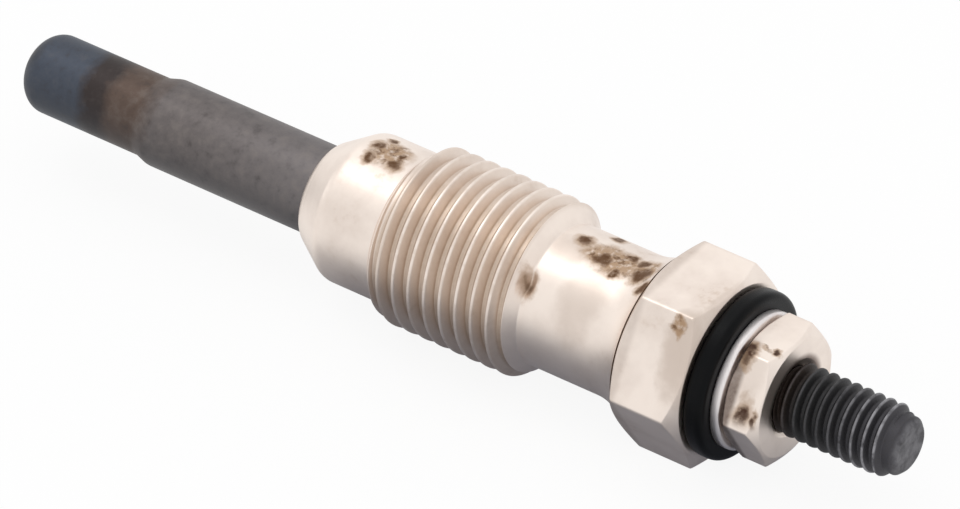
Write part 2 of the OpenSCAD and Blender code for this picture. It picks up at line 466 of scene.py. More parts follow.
@dataclass(frozen=True)
class DarkCollar:
    """Darker brown ring on a rear face, close round what comes out of it, and most on the upper side."""

    station: float
    full: float
    reach: float
    share: float

    def mask(self, recipe: Recipe) -> Signal:
        """How dark the face is, 0 to 1."""
        face = recipe.station.rise(self.station - 0.4, self.station - 0.05) * recipe.above.rise(-1.6, 0.6)
        return recipe.radius().rise(self.reach, self.full) * face * self.share


@dataclass(frozen=True)
class NickelPlating:
    """Warm satin nickel over turned steel, dirty in its joints, darkened by painted shade along some edges,
    tarnished in small brown marks, and painted lighter on the far side of its thread.
    """

    name: str
    bright: Triple = (0.90, 0.80, 0.725)
    dull: Triple = (0.80, 0.70, 0.63)
    tan: Triple = tone(174, 143, 112)
    brown: Triple = tone(96, 64, 36)
    haze: Triple = (0.60, 0.50, 0.43)
    root_brown: Triple = (0.58, 0.465, 0.375)
    rough: float = 0.31
    cloud_scale: float = 0.35
    grain_scale: float = 3.0
    marks_per_mm: float = 9.0
    relief_depth: float = 0.004
    roots: Optional[Roots] = None
    joint_dirt_and_shade: tuple[DirtAndShadeLine, ...] = ()
    collar: Optional[DarkCollar] = None
    tarnish: Optional[Tarnish] = None

    def material(self) -> Material:
        """Builds the finish.

        Returns:
            The material.
        """
        recipe = Recipe(self.name)
        clouds, fine = recipe.grain(self.cloud_scale, 4.0), recipe.grain(self.grain_scale)
        marks = recipe.lathe_lines(self.marks_per_mm)
        colour = recipe.blend(clouds.rise(0.35, 0.7), self.bright, self.dull)
        colour = recipe.blend(clouds.rise(0.55, 0.8) * fine.rise(0.4, 0.7) * 0.35, colour, self.tan)
        rough = self.rough + clouds * 0.1 + marks * 0.05
        metal: Value = 1.0
        if self.roots is not None:
            # brown of the thread, less on its far side as painted light
            thread_brown_and_painted_light = self.roots.mask(recipe) * (0.75 + fine * 0.4)
            colour = recipe.blend(thread_brown_and_painted_light, colour, self.root_brown)
            rough = rough + thread_brown_and_painted_light * 0.06
        # dark lines round the axis: dirty joints, and bands of painted shade
        for dark_line in self.joint_dirt_and_shade:
            colour = recipe.blend(dark_line.mask(recipe) * (0.65 + fine * 0.5), colour, self.brown)
        if self.collar is not None:
            colour = recipe.blend(self.collar.mask(recipe) * (0.55 + clouds * 0.7), colour, self.brown)
        if self.tarnish is not None:
            haze, stain, speck = self.tarnish.masks(recipe, fine)
            dark = speck * (0.75 + fine * 0.4)
            colour = recipe.layer(colour, (haze, self.haze), (stain * 0.9, self.tan), (dark, self.brown))
            rough = rough + (stain | speck) * 0.2
            metal = 1 - (stain * 0.25 | speck * 0.4)
        normal = recipe.bump(marks * 0.6 + fine * 0.4, self.relief_depth)
        return recipe.close(Base_Color=colour, Metallic=metal, Roughness=rough, Normal=normal)


@dataclass(frozen=True)
class HeatTintedAlloy:
    """Oxidised heat-resisting tube, blue and brown towards its tip, with painted shade darkening its
    underside.
    """

    name: str = "sheath_alloy_heat_tinted"
    rim: Triple = tone(52, 53, 57)
    blue: Triple = tone(72, 78, 89)
    band: Triple = tone(58, 51, 50)
    brown: Triple = tone(92, 77, 69)
    grey: Triple = tone(106, 100, 99)
    pale: Triple = tone(117, 112, 112)
    patch: Triple = tone(140, 132, 127)
    flake: Triple = tone(60, 55, 54)
    span: float = 20.0
    raggedness: float = 1.6
    relief_depth: float = 0.012

    def material(self) -> Material:
        """Builds the finish.

        Returns:
            The material.
        """
        recipe = Recipe(self.name)
        clouds, mottle = recipe.grain(0.8, 4.0, 0.6), recipe.grain(1.7, 5.0)
        flakes = recipe.grain(8.0, 3.0, 0.6)
        shifted = (recipe.station + (clouds - 0.5) * self.raggedness) / self.span
        tints = recipe.node("ShaderNodeValToRGB", {"stops": self._stops()}, {"Fac": shifted})
        light = mottle.rise(0.45, 0.75) * (0.1 + recipe.station.rise(5.5, 10.0) * 0.25)
        dark = mottle.rise(0.5, 0.2) * 0.5 + flakes.rise(0.5, 0.9) * 0.2
        # painted shade: the underside is darkened towards the rim tone
        painted_underside_shade = recipe.above.rise(1.6, -0.6) * 0.5
        return recipe.close(
            Base_Color=recipe.layer(tints, (light, self.patch), (dark, self.flake), (painted_underside_shade, self.rim)),
            Metallic=0.75,
            Roughness=0.4 + mottle * 0.2,
            Normal=recipe.bump(flakes * 0.5 + mottle * 0.5, self.relief_depth),
        )

    def _stops(self) -> list[tuple[float, Triple]]:
        """Tints along the tube.

        Returns:
            Place of each tint, as a share of the span, and its colour.
        """
        tints = (
            (0.3, self.rim), (1.5, self.blue), (4.2, self.blue), (5.0, self.band), (5.8, self.band),
            (6.6, self.brown), (8.2, self.brown), (9.6, self.grey), (12.0, self.grey), (self.span, self.pale),
        )
        return [(station / self.span, tint) for station, tint in tints]


@dataclass(frozen=True)
class BlackenedSteel:
    """Blackened steel of the terminal stud, worn bright on its crests and end."""

    name: str = "dark_steel_blackened"
    dark: Triple = tone(50, 50, 51)
    rubbed: Triple = tone(72, 71, 75)
    worn: Triple = tone(158, 157, 161)
    dark_brown: Triple = tone(46, 33, 25)
    dusty: Triple = tone(74, 70, 68)
    crest: float = 2.0
    end: float = Plan.end
    dark_brown_end: float = 50.5
    relief_depth: float = 0.012

    def material(self) -> Material:
        """Builds the finish.

        Returns:
            The material.
        """
        recipe = Recipe(self.name)
        station = recipe.station
        clouds, fine = recipe.grain(1.4, 4.0, 0.6), recipe.grain(9.0)
        crests = recipe.radius().rise(self.crest - 0.11, self.crest - 0.02)
        tail = station.rise(self.end - 0.35, self.end - 0.05)
        handled = 0.12 + station.rise(self.end - 4.6, self.end - 1.2) * 0.78
        wear = (crests * clouds.rise(0.25, 0.6) * handled) | (tail * clouds.rise(0.3, 0.7) * 0.34)
        colour = recipe.blend(station.rise(self.end - 6.0, self.end - 1.0), self.dark, self.rubbed)
        # darker brown on the stud next to the nut
        browned = station.rise(self.dark_brown_end, self.dark_brown_end - 0.7) * 0.8
        dust = fine.rise(0.4, 0.75) * 0.35
        return recipe.close(
            Base_Color=recipe.layer(colour, (browned, self.dark_brown), (dust, self.dusty), (wear, self.worn)),
            Metallic=0.85,
            Roughness=0.48 - wear * 0.12 + fine * 0.1,
            Normal=recipe.bump(fine * 0.7 + clouds * 0.3, self.relief_depth),
        )


@dataclass(frozen=True)
class PlainFinish:
    """Even stuff with soft clouds of a second tone and a fine relief."""

    name: str
    base: Triple
    second: Triple
    cloud_scale: float
    relief_scale: float
    relief_depth: float
    rough: float
    rough_by_relief: float = 0.0
    rough_by_clouds: float = 0.0
    cloud_detail: float = 4.0
    cloud_rough: float = 0.55
    cloud_edges: tuple[float, float] = (0.45, 0.75)
    cloud_share: float = 0.6
    relief: Relief = Relief.GRAIN
    relief_share: float = 0.0
    metallic: float = 0.0
    specular: float = 0.5

    def material(self) -> Material:
        """Builds the finish.

        Returns:
            The material.
        """
        recipe = Recipe(self.name)
        clouds = recipe.grain(self.cloud_scale, self.cloud_detail, self.cloud_rough)
        relief = self._relief(recipe)
        share = clouds.rise(*self.cloud_edges) * self.cloud_share + relief * self.relief_share
        return recipe.close(
            Base_Color=recipe.blend(share, self.base, self.second),
            Metallic=self.metallic,
            Roughness=self.rough + relief * self.rough_by_relief + clouds * self.rough_by_clouds,
            Normal=recipe.bump(relief, self.relief_depth),
            Specular_IOR_Level=self.specular,
        )

    def _relief(self, recipe: Recipe) -> Signal:
        """Height of the relief.

        Args:
            recipe: The finish that it is on.

        Returns:
            The height, 0 to 1.
        """
        if self.relief is Relief.SPECKS:
            return recipe.specks(self.relief_scale)
        if self.relief is Relief.LINES:
            return recipe.grain(self.relief_scale, 2.0, 0.5, stretch=(1, 0.2, 0.2))
        return recipe.grain(self.relief_scale, 2.0)


MOULDED_BLACK = PlainFinish(
    "black_plastic_moulded", tone(2, 3, 5), tone(10, 9, 9), cloud_scale=0.9, cloud_rough=0.6,
    relief_scale=12.0, relief_depth=0.008, rough=0.3, rough_by_relief=0.12, specular=0.11,
)
DRAWN_WIRE = PlainFinish(
    "resistance_wire_drawn", (0.52, 0.46, 0.38), (0.36, 0.29, 0.22), cloud_scale=1.2, cloud_detail=3.0,
    cloud_edges=(0.35, 0.7), cloud_share=1.0, relief=Relief.LINES, relief_scale=16.0, relief_depth=0.006,
    rough=0.3, rough_by_relief=0.15, metallic=1.0,
)
PRESSED_POWDER = PlainFinish(
    "magnesia_pressed", (0.80, 0.79, 0.75), (0.62, 0.60, 0.55), cloud_scale=1.0, cloud_edges=(0.4, 0.75),
    relief=Relief.SPECKS, relief_scale=9.0, relief_depth=0.03, relief_share=0.2,
    rough=0.85, rough_by_clouds=0.1,
)
SEAL_RUBBER = PlainFinish(
    "seal_rubber_black", (0.02, 0.02, 0.021), (0.07, 0.07, 0.068), cloud_scale=1.6, cloud_edges=(0.45, 0.8),
    cloud_share=0.7, relief_scale=14.0, relief_depth=0.012, rough=0.55, rough_by_relief=0.2,
)


# Turned solids


def put(name: str, data: bpy.types.ID) -> Piece:
    """Puts an object into the scene.

    Args:
        name: Its name.
        data: Its mesh, light or camera.

    Returns:
        The object.
    """
    thing = bpy.data.objects.new(name, data)
    bpy.context.scene.collection.objects.link(thing)
    return thing


def new_piece(name: str, points: Sequence[Triple], faces: Sequence[Sequence[int]], smooth: int) -> Piece:
    """Makes a mesh and puts it into the scene.

    Args:
        name: Name of the piece.
        points: Its points in metres.
        faces: Numbers of the points of each face.
        smooth: How many faces, from the first one, are shaded smooth.

    Returns:
        The piece.
    """
    mesh = bpy.data.meshes.new(name)
    mesh.from_pydata(points, [], faces)
    mesh.polygons.foreach_set("use_smooth", np.arange(len(faces)) < smooth)
    mesh.update()
    return put(name, mesh)


@dataclass(frozen=True)
class Corner:
    """Corner of a turned profile; station and out may differ from angle to angle."""

    station: Spread
    out: Spread
    soft: float = 0.0


class Turning:
    """Closed surface about the plug's axis, made of rows that run round it."""

    # Most of an edge that a softened corner takes, where the row beside it lies, and how near the axis a row
    # is a single point
    edge_share: float = 0.36
    guard: float = 1.3
    pole_out: float = 1e-9

    def __init__(self, angles: np.ndarray, closed: bool, steps: int = 4) -> None:
        """Sets up an empty turning.

        Args:
            angles: Angles of the columns, in radians.
            closed: True where the profile runs round a bore, False where it ends on the axis.
            steps: Steps in each softened corner.
        """
        self.angles = angles
        self.closed = closed
        self.steps = steps
        self.corners: list[Corner] = []

    def follow(self, *corners: tuple[Spread, ...]) -> None:
        """Adds corners, each a station, a distance out and, for a softened one, how far it is cut back."""
        self.corners += [Corner(*corner) for corner in corners]

    def rows(self) -> list[np.ndarray]:
        """Profile with its corners softened.

        Returns:
            One array of (station, out) per row, with a pair for each column.
        """
        level = np.zeros(len(self.angles))
        points = [np.stack([level + corner.station, level + corner.out], axis=-1) for corner in self.corners]
        rows: list[np.ndarray] = []
        for i, corner in enumerate(self.corners):
            here = points[i]
            on_axis = not self.closed and i in (0, len(points) - 1)
            if on_axis or corner.soft <= 0:
                rows.append(here)
                continue
            edges = points[i - 1] - here, points[(i + 1) % len(points)] - here
            lengths = [np.linalg.norm(edge, axis=1, keepdims=True) for edge in edges]
            back = np.minimum(corner.soft, np.minimum(*lengths) * self.edge_share)
            before, after = (edge / length * back for edge, length in zip(edges, lengths))
            curve = [before * (1 - t) ** 2 + after * t**2 for t in np.linspace(0, 1, self.steps + 1)]
            rows += [here + shift for shift in (before * self.guard, *curve, after * self.guard)]
        return rows

    def build(self, name: str) -> Piece:
        """Makes the mesh.

        Args:
            name: Name of the piece.

        Returns:
            The piece.
        """
        count = len(self.angles)
        points: list[np.ndarray] = []
        starts: list[tuple[int, bool]] = []
        total = 0
        for row in self.rows():
            pole = bool(np.all(row[:, 1] < self.pole_out))
            ring = place(row[:, 0], row[:, 1], self.angles)
            points.append(ring[:1] if pole else ring)
            starts.append((total, pole))
            total += len(points[-1])
        here = np.arange(count)
        following = (here + 1) % count
        faces: list[list[int]] = []
        links = list(zip(starts, starts[1:])) + ([(starts[-1], starts[0])] if self.closed else [])
        for (low, low_pole), (high, high_pole) in links:
            low_edge = [np.full(count, low)] if low_pole else [low + here, low + following]
            high_edge = [np.full(count, high)] if high_pole else [high + following, high + here]
            faces += np.stack(low_edge + high_edge, axis=1).tolist()
        return new_piece(name, np.concatenate(points).tolist(), faces, len(faces))


def even_angles(count: int) -> np.ndarray:
    """Angles of evenly spaced columns."""
    return np.arange(count) * math.tau / count


def hexagon_angles(plain: int) -> np.ndarray:
    """Angles of columns that crowd together at the corners of a hexagon.

    Args:
        plain: Columns on half of one flat, away from its corner.

    Returns:
        The angles in radians, from corner 0 round.
    """
    crowded = (0.0, 0.45, 0.9, 1.5, 2.4, 3.5)
    half = np.concatenate([crowded, np.linspace(5.0, 30.0, plain)])
    side = np.concatenate([half, 60.0 - half[-2:0:-1]])
    return np.radians(np.concatenate([side + 60.0 * k for k in range(6)]))


@dataclass(frozen=True)
class HexagonForm:
    """Hexagon with rounded corners and a cone turned on both ends."""

    across_flats: float
    corner_round: float
    face_out: float
    flat_soft: float
    face_soft: float = 0.05
    chamfer: float = math.radians(30)

    def out(self, angles: np.ndarray) -> np.ndarray:
        """Distance from the axis to the flats and corners.

        Args:
            angles: Angles of the columns.

        Returns:
            The distance at each angle.
        """
        half_flat = math.pi / 6
        flat = self.across_flats / 2
        from_corner = np.abs((angles + half_flat) % (2 * half_flat) - half_flat)
        centre = (flat - self.corner_round) / math.cos(half_flat)
        inside = np.maximum(self.corner_round**2 - (centre * np.sin(from_corner)) ** 2, 0)
        arc = centre * np.cos(from_corner) + np.sqrt(inside)
        meets = math.atan2(self.corner_round / 2, centre + self.corner_round * math.cos(half_flat))
        return np.where(from_corner < meets, arc, flat / np.cos(half_flat - from_corner))

    def corners(self, angles: np.ndarray, start: float, end: float) -> list[tuple[Spread, Spread, float]]:
        """Profile from the rim of the front face to that of the rear face.

        Args:
            angles: Angles of the columns.
            start: Station of the front face.
            end: Station of the rear face.

        Returns:
            The corners that a turning follows.
        """
        out = self.out(angles)
        setback = (out - self.face_out) * math.tan(self.chamfer)
        return [
            (start, self.face_out, self.face_soft),
            (start + setback, out, self.flat_soft),
            (end - setback, out, self.flat_soft),
            (end, self.face_out, self.face_soft),
        ]


@dataclass(frozen=True)
class ThreadForm:
    """Right-handed metric thread; its flats and its bluntness are shares of the pitch."""

    crest_out: float
    pitch: float
    phase: float
    rows_per_pitch: int
    cap_blend: float
    crest_flat: float = 1 / 8
    root_flat: float = 1 / 4
    flank_angle: float = math.radians(30)
    blunt: float = 0.016
    blunt_steps: int = 5

    @property
    def flank_run(self) -> float:
        """Run of one flank along the axis, as a share of the pitch."""
        return (1 - self.crest_flat - self.root_flat) / 2

    @property
    def core_out(self) -> float:
        """Distance from the axis to the roots."""
        return self.crest_out - self.pitch * self.flank_run / math.tan(self.flank_angle)

    def stations(self, start: float, stop: float) -> np.ndarray:
        """Stations of the rows between two ends, with the ends."""
        return np.linspace(start, stop, round((stop - start) / self.pitch * self.rows_per_pitch) + 1)

    def out(self, station: float, angles: np.ndarray, cap: float) -> np.ndarray:
        """Distance from the axis to the thread, turned down to a cap with a rounded meeting line.

        Args:
            station: Distance from the heater tip.
            angles: Angles of the columns.
            cap: Distance from the axis that the thread is turned down to.

        Returns:
            The distance at each angle.
        """
        turn = (station - self.phase) / self.pitch - angles / math.tau
        height = np.zeros_like(angles)
        for shift in np.linspace(-self.blunt, self.blunt, self.blunt_steps):
            from_root = (1 - self.root_flat) / 2 - np.abs((turn + shift + 0.5) % 1.0 - 0.5)
            height += np.clip(from_root / self.flank_run, 0, 1) / self.blunt_steps
        out = self.core_out + height * (self.crest_out - self.core_out)
        share = np.clip(0.5 + (out - cap) / (2 * self.cap_blend), 0, 1)
        return out * (1 - share) + cap * share - self.cap_blend * share * (1 - share)


def settle(piece: Piece, finish: Material, slot: Slot, node: str) -> Piece:
    """Gives a piece its finish and its place in the part.

    Args:
        piece: The piece.
        finish: Its material.
        slot: The record's slot that it takes its finish from; not used.
        node: The solid that it stands for.

    Returns:
        The piece.
    """
    piece.data.materials.append(finish)
    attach(piece, "root")
    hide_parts(node)
    return piece


# Sub-assemblies


@dataclass
class Housing:
    """Turned shell: conical seat, pilot, body thread, shank with flare, hexagon and stepped bore."""

    shank_out: float = 4.0
    flare_run: float = 2.2
    flare_rise: float = 0.8
    flare_share: float = 0.96
    flare_rows: int = 14
    through_out: float = 2.3
    counterbore_out: float = 3.15
    edge: float = 0.15
    lead_step: float = 0.06
    lead_slope: float = 1.15
    tail_slope: float = 1.25
    run_out: float = 0.38
    notch_station: float = 34.75
    notch_angle: float = math.radians(138)
    notch_depth: float = 0.36
    notch_half_run: float = 0.42
    notch_half_width: float = 0.75
    notch_clear: float = 0.9
    notch_rows: int = 10
    groove_run: float = 0.12
    groove_floor_run: float = 0.04
    groove_depth: float = 0.12
    face_step: float = 0.1
    seat_soft: float = 0.06
    pilot_soft: float = 0.3
    start_soft: float = 0.04
    groove_rim_soft: float = 0.05
    groove_soft: float = 0.02
    counterbore_soft: float = 0.08
    plain_columns: int = 9
    thread: ThreadForm = ThreadForm(crest_out=5.0, pitch=1.0, phase=25.95, rows_per_pitch=46, cap_blend=0.05)
    hexagon: HexagonForm = HexagonForm(Plan.hex_across, corner_round=0.25, face_out=4.85, flat_soft=0.07)

    def build(self) -> Piece:
        """Builds the shell, from its front face round to its bore.

        Returns:
            The piece.
        """
        turning = Turning(hexagon_angles(self.plain_columns), closed=True)
        turning.follow(
            (Plan.sheath_free, Plan.sheath_out, self.start_soft),
            (Plan.sheath_free, Plan.seat_out - self.edge, self.seat_soft),
            (Plan.sheath_free + self.edge, Plan.seat_out, self.seat_soft),
            (Plan.seat_end, Plan.pilot_out, self.pilot_soft),
            (Plan.thread_start, Plan.pilot_out, self.start_soft),
        )
        self._thread(turning)
        self._shank(turning)
        turning.follow(*self.hexagon.corners(turning.angles, Plan.hex_start, Plan.hex_end))
        turning.follow(
            (Plan.hex_end, self.counterbore_out, self.counterbore_soft),
            (Plan.counterbore_start, self.counterbore_out),
            (Plan.counterbore_start, self.through_out),
            (Plan.sheath_end, self.through_out),
            (Plan.sheath_end, Plan.sheath_out),
        )
        return turning.build("housing_shell")

    def _thread(self, turning: Turning) -> None:
        """Adds the thread, turned down to a cone at both ends.

        Args:
            turning: The turning that it goes on.
        """
        start, stop = Plan.thread_start, Plan.thread_end + self.run_out
        for station in self.thread.stations(start, stop)[1:]:
            lead = Plan.pilot_out + self.lead_step + (station - start) * self.lead_slope
            tail = self.shank_out + (stop - station) * self.tail_slope
            out = self.thread.out(station, turning.angles, min(lead, tail))
            turning.follow((station, out - self._notch(station, turning.angles)))
        for station in np.linspace(stop, stop + self.notch_clear, self.notch_rows)[1:]:
            turning.follow((station, self.shank_out - self._notch(station, turning.angles)))

    def _notch(self, station: float, angles: np.ndarray) -> np.ndarray:
        """Depth of the small notch where the thread tool ran out.

        Args:
            station: Distance from the heater tip.
            angles: Angles of the columns.

        Returns:
            The depth at each angle.
        """
        along = (station - self.notch_station) / self.notch_half_run
        away = (angles - self.notch_angle + math.pi) % math.tau - math.pi
        round_axis = away * self.shank_out / self.notch_half_width
        return self.notch_depth * np.clip(1 - along**2 - round_axis**2, 0, 1)

    def _shank(self, turning: Turning) -> None:
        """Adds the shank's flare and the fine groove in front of the hexagon.

        Args:
            turning: The turning that they go on.
        """
        bend = (self.flare_run**2 + self.flare_rise**2) / (2 * self.flare_rise)
        start = Plan.hex_start - self.flare_run
        for angle in math.asin(self.flare_run / bend) * np.linspace(0, self.flare_share, self.flare_rows):
            turning.follow((start + bend * math.sin(angle), self.shank_out + bend * (1 - math.cos(angle))))
        top = self.shank_out + self.flare_rise
        turning.follow(
            (Plan.hex_start - self.groove_run, top, self.groove_rim_soft),
            (Plan.hex_start - self.groove_floor_run, top - self.groove_depth, self.groove_soft),
            (Plan.hex_start, top - self.face_step, self.groove_soft),
        )

    def dress(self, piece: Piece) -> Piece:
        """Plates the shell.

        Args:
            piece: The shell.

        Returns:
            The shell.
        """
        tarnish = Tarnish(
            hazes=(
                Stain(45.0, -3.7, 1.3, 1.6, 0.8), Stain(37.9, -2.6, 1.4, 1.5, 0.5),
                Stain(35.9, -0.6, 1.3, 1.2, 0.5), Stain(45.4, -1.2, 0.45, 2.4, 0.5),
                Stain(26.3, -0.4, 0.8, 1.4, 0.6),
            ),
            stains=(
                Stain(23.65, 0.35, 1.35, 1.2), Stain(38.2, -0.1, 2.2, 1.15), Stain(40.2, -0.2, 0.9, 1.2),
                Stain(44.35, -3.2, 0.55, 0.3),
            ),
            spots=(
                # pale speck at the thread's run-out notch: painted shade
                Spot(self.notch_station, -2.95, 0.42, peak=0.15),
                Spot(22.75, 0.5, 0.36), Spot(22.8, -0.55, 0.34), Spot(24.35, -0.42, 0.38),
                Spot(24.35, 0.4, 0.22), Spot(23.0, 1.4, 0.26), Spot(36.0, 0.4, 0.4),
                Spot(37.7, -0.4, 0.46), Spot(38.85, -0.95, 0.3), Spot(38.9, 0.5, 0.32),
                Spot(38.15, 0.15, 0.18), Spot(39.7, 0.35, 0.3), Spot(40.15, -0.5, 0.5),
                Spot(40.95, -1.5, 0.3), Spot(37.2, 1.9, 0.32),
            ),
        )
        thread = self.thread
        finish = NickelPlating(
            "plated_steel_housing",
            roots=Roots(Plan.thread_start + 0.4, Plan.thread_end - 0.2, thread.core_out, thread.crest_out),
            joint_dirt_and_shade=(
                DirtAndShadeLine(Plan.hex_start - 0.06, full=0.0, reach=0.12),
                # painted shade along the hexagon's front chamfer
                DirtAndShadeLine(Plan.hex_start + 0.35, full=0.15, reach=0.6, share=0.24),
            ),
            tarnish=tarnish,
        )
        return settle(piece, finish.material(), Slot.PLATED_STEEL, "housing")


@dataclass
class Sheath:
    """Closed heat-resisting tube, drawn down towards its domed tip."""

    tip_out: float = 2.25
    dome: float = 1.6
    tip_run: float = 8.2
    taper_end: float = 9.0
    wall: float = 0.7
    tip_wall: float = 0.9
    inner_corner: float = 0.4
    taper_soft: float = 0.25
    rim_soft: float = 0.1
    dome_rows: int = 19
    tip_rows: int = 8
    tip_gap: float = 0.4
    rear_rows: int = 16
    rear_gaps: tuple[float, float] = (0.5, 1.0)

    def build(self) -> Piece:
        """Builds the tube, from its tip to its end and back inside.

        Returns:
            The piece.
        """
        out, end = Plan.sheath_out, Plan.sheath_end
        bore, tip_bore = out - self.wall, self.tip_out - self.wall
        tip_stations = np.linspace(self.dome, self.tip_run - self.tip_gap, self.tip_rows)[1:]
        rear_start, rear_stop = self.taper_end + self.rear_gaps[0], end - self.rear_gaps[1]
        rear_stations = np.linspace(rear_start, rear_stop, self.rear_rows)
        turning = Turning(even_angles(ROUND_COLUMNS), closed=False)
        for angle in np.linspace(0, math.pi / 2, self.dome_rows):
            turning.follow((self.dome * (1 - math.cos(angle)), self.tip_out * math.sin(angle)))
        turning.follow(*((station, self.tip_out) for station in tip_stations))
        turning.follow((self.tip_run, self.tip_out, self.taper_soft), (self.taper_end, out, self.taper_soft))
        turning.follow(*((station, out) for station in rear_stations))
        turning.follow(
            (end, out, self.rim_soft),
            (end, bore, self.rim_soft),
            (self.taper_end, bore),
            (self.tip_run, tip_bore),
            (self.tip_wall, tip_bore, self.inner_corner),
            (self.tip_wall, 0.0),
        )
        return turning.build("sheath_tube_drawn")

    def dress(self, piece: Piece) -> Piece:
        """Gives the tube its heat tint."""
        return settle(piece, HeatTintedAlloy().material(), Slot.SHEATH_ALLOY, "sheath_tube")


@dataclass
class Electrode:
    """Steel rod from the control coil to the terminal, its rear end a threaded stud."""

    start: float = 18.1
    front_out: float = 1.3
    rod_out: float = 1.75
    point_break: float = 0.3
    foot: float = 0.02
    lead_slope: float = 1.35
    tail_slope: float = 1.0
    nut_overlap: float = 0.3
    point_overlap: float = 0.1
    end_soft: float = 0.08
    shoulder_soft: float = 0.1
    step_soft: float = 0.05
    step_foot_soft: float = 0.03
    thread: ThreadForm = ThreadForm(crest_out=2.0, pitch=0.7, phase=49.6, rows_per_pitch=20, cap_blend=0.04)

    def build(self) -> Piece:
        """Builds the rod.

        Returns:
            The piece.
        """
        core = self.thread.core_out
        first, last = Plan.nut_end - self.nut_overlap, Plan.point_start + self.point_overlap
        turning = Turning(even_angles(ROUND_COLUMNS), closed=False)
        turning.follow(
            (self.start, 0.0),
            (self.start, self.front_out, self.end_soft),
            (Plan.sheath_end, self.front_out, self.shoulder_soft),
            (Plan.sheath_end + self.rod_out - self.front_out, self.rod_out, self.shoulder_soft),
            (Plan.flange_end, self.rod_out, self.step_soft),
            (Plan.flange_end, core, self.step_foot_soft),
            (first, core),
        )
        for station in self.thread.stations(first, last)[1:-1]:
            lead = core + self.foot + (station - first) * self.lead_slope
            tail = core + self.foot + (last - station) * self.tail_slope
            turning.follow((station, self.thread.out(station, turning.angles, min(lead, tail))))
        turning.follow(
            (last, core),
            (Plan.end - self.point_break, core, self.end_soft),
            (Plan.end, core - self.point_break, self.end_soft),
            (Plan.end, 0.0),
        )
        return turning.build("centre_electrode_threaded")

    def dress(self, piece: Piece) -> Piece:
        """Blackens the rod."""
        return settle(piece, BlackenedSteel().material(), Slot.DARK_STEEL, "centre_electrode")


@dataclass
class Terminal:
    """What sits on the stud: insulating bush, plain washer and hexagon nut."""

    hole_out: float = 2.12
    neck_out: float = 3.1
    flange_out: float = 4.7
    neck_soft: float = 0.12
    neck_root_soft: float = 0.02
    flange_soft: float = 0.42
    bush_hole_soft: tuple[float, float] = (0.08, 0.06)
    bush_steps: int = 8
    washer_out: float = 3.85
    washer_rim_soft: tuple[float, float] = (0.08, 0.18)
    washer_hole_soft: float = 0.05
    nut_hole_out: float = 1.6411
    nut_hole_break: float = 0.3
    countersink_out: float = 2.2
    countersink_depth: float = 0.34
    countersink_soft: float = 0.04
    nut_hole_soft: float = 0.03
    nut_columns: int = 10
    hexagon: HexagonForm = HexagonForm(across_flats=7.0, corner_round=0.2, face_out=3.35, flat_soft=0.06)

    def build_bush(self) -> Piece:
        """Builds the flanged bush.

        Returns:
            The piece.
        """
        turning = Turning(even_angles(ROUND_COLUMNS), closed=True, steps=self.bush_steps)
        turning.follow(
            (Plan.neck_start, self.hole_out, self.bush_hole_soft[0]),
            (Plan.neck_start, self.neck_out, self.neck_soft),
            (Plan.hex_end, self.neck_out, self.neck_root_soft),
            (Plan.hex_end, self.flange_out, self.flange_soft),
            (Plan.flange_end, self.flange_out, self.flange_soft),
            (Plan.flange_end, self.hole_out, self.bush_hole_soft[1]),
        )
        return turning.build("insulating_bush_moulded")

    def build_washer(self) -> Piece:
        """Builds the washer, its rim rounded by the punch on one side.

        Returns:
            The piece.
        """
        turning = Turning(even_angles(ROUND_COLUMNS), closed=True)
        turning.follow(
            (Plan.flange_end, self.hole_out, self.washer_hole_soft),
            (Plan.flange_end, self.washer_out, self.washer_rim_soft[0]),
            (Plan.washer_end, self.washer_out, self.washer_rim_soft[1]),
            (Plan.washer_end, self.hole_out, self.washer_hole_soft),
        )
        return turning.build("plain_washer_punched")

    def build_nut(self) -> Piece:
        """Builds the nut, chamfered on both faces and countersunk at its hole.

        Returns:
            The piece.
        """
        turning = Turning(hexagon_angles(self.nut_columns), closed=True)
        turning.follow((Plan.washer_end, self.nut_hole_out + self.nut_hole_break, self.hexagon.face_soft))
        turning.follow(*self.hexagon.corners(turning.angles, Plan.washer_end, Plan.nut_end))
        turning.follow(
            (Plan.nut_end, self.countersink_out, self.countersink_soft),
            (Plan.nut_end - self.countersink_depth, self.nut_hole_out, self.nut_hole_soft),
            (Plan.washer_end + self.nut_hole_break, self.nut_hole_out, self.nut_hole_soft),
        )
        return turning.build("terminal_nut_hexagon")

    def dress(self, bush: Piece, washer: Piece, nut: Piece) -> None:
        """Gives the three pieces their finishes.

        Args:
            bush: The bush.
            washer: The washer.
            nut: The nut.
        """
        tarnish = Tarnish(
            hazes=(Stain(48.4, -2.5, 0.9, 0.8, 0.25),),
            stains=(Stain(47.7, -1.6, 0.5, 0.5, 0.8), Stain(48.35, -1.1, 0.45, 0.2, 0.7)),
            spots=(
                Spot(47.65, -1.5, 0.34), Spot(47.95, -1.9, 0.34), Spot(49.05, -1.1, 0.2),
                Spot(48.55, -3.62, 0.4), Spot(49.3, -3.65, 0.2),
            ),
        )
        plating = NickelPlating(
            "plated_steel_nut",
            brown=tone(74, 48, 34),
            # brown band on the nut's front chamfer, on the -Y side only: partly a dirty joint, partly a
            # painted reflection of the dark bush
            joint_dirt_and_shade=(DirtAndShadeLine(Plan.washer_end + 0.35, full=0.15, reach=0.5, share=0.8, side_limit=-0.6),),
            collar=DarkCollar(Plan.nut_end, self.countersink_out, self.countersink_out + 0.4, share=0.85),
            tarnish=tarnish,
        )
        bright = NickelPlating("plated_steel_washer", bright=(0.86, 0.82, 0.81), dull=(0.77, 0.73, 0.72))
        settle(bush, MOULDED_BLACK.material(), Slot.BLACK_PLASTIC, "insulating_bush")
        settle(washer, bright.material(), Slot.PLATED_STEEL, "plain_washer")
        settle(nut, plating.material(), Slot.PLATED_STEEL, "terminal_nut")


